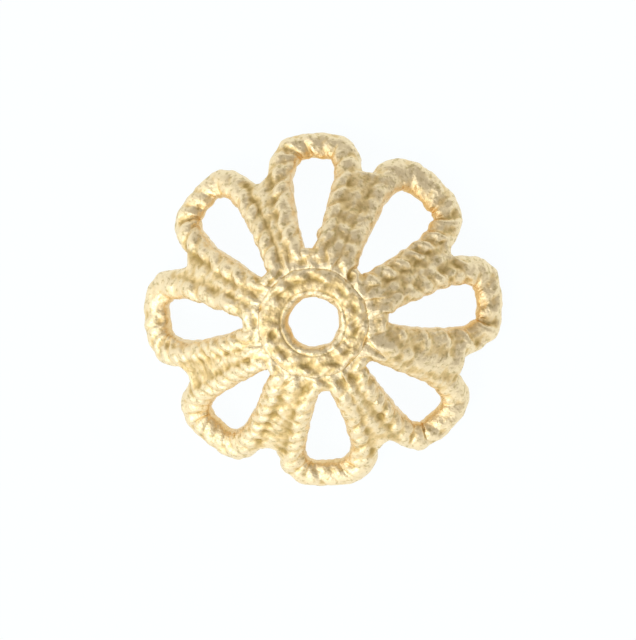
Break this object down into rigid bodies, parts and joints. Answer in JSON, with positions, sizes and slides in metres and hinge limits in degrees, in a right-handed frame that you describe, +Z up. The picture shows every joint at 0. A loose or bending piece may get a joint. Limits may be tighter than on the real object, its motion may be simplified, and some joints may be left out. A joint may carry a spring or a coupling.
{
  "type": "bead cap",
  "caption": "Flower-shaped filigree bead cap: pierced petals of twisted rope round an eyelet, cast in gold-plated brass.",
  "frame": {"origin": "on the axis of the bead hole, in the plane on which the petal tips rest", "axes": "+Z up along the bead hole, out of the crown; +X towards the petal at the right of the picture"},
  "size_m": [0.01, 0.0099, 0.0031],
  "materials": {
    "gold_plate": "pale gold plating, softly polished, slightly worn casting"
  },
  "bodies": {
    "root": {"bead_cap": "gold_plate"}
  },
  "joints": []
}
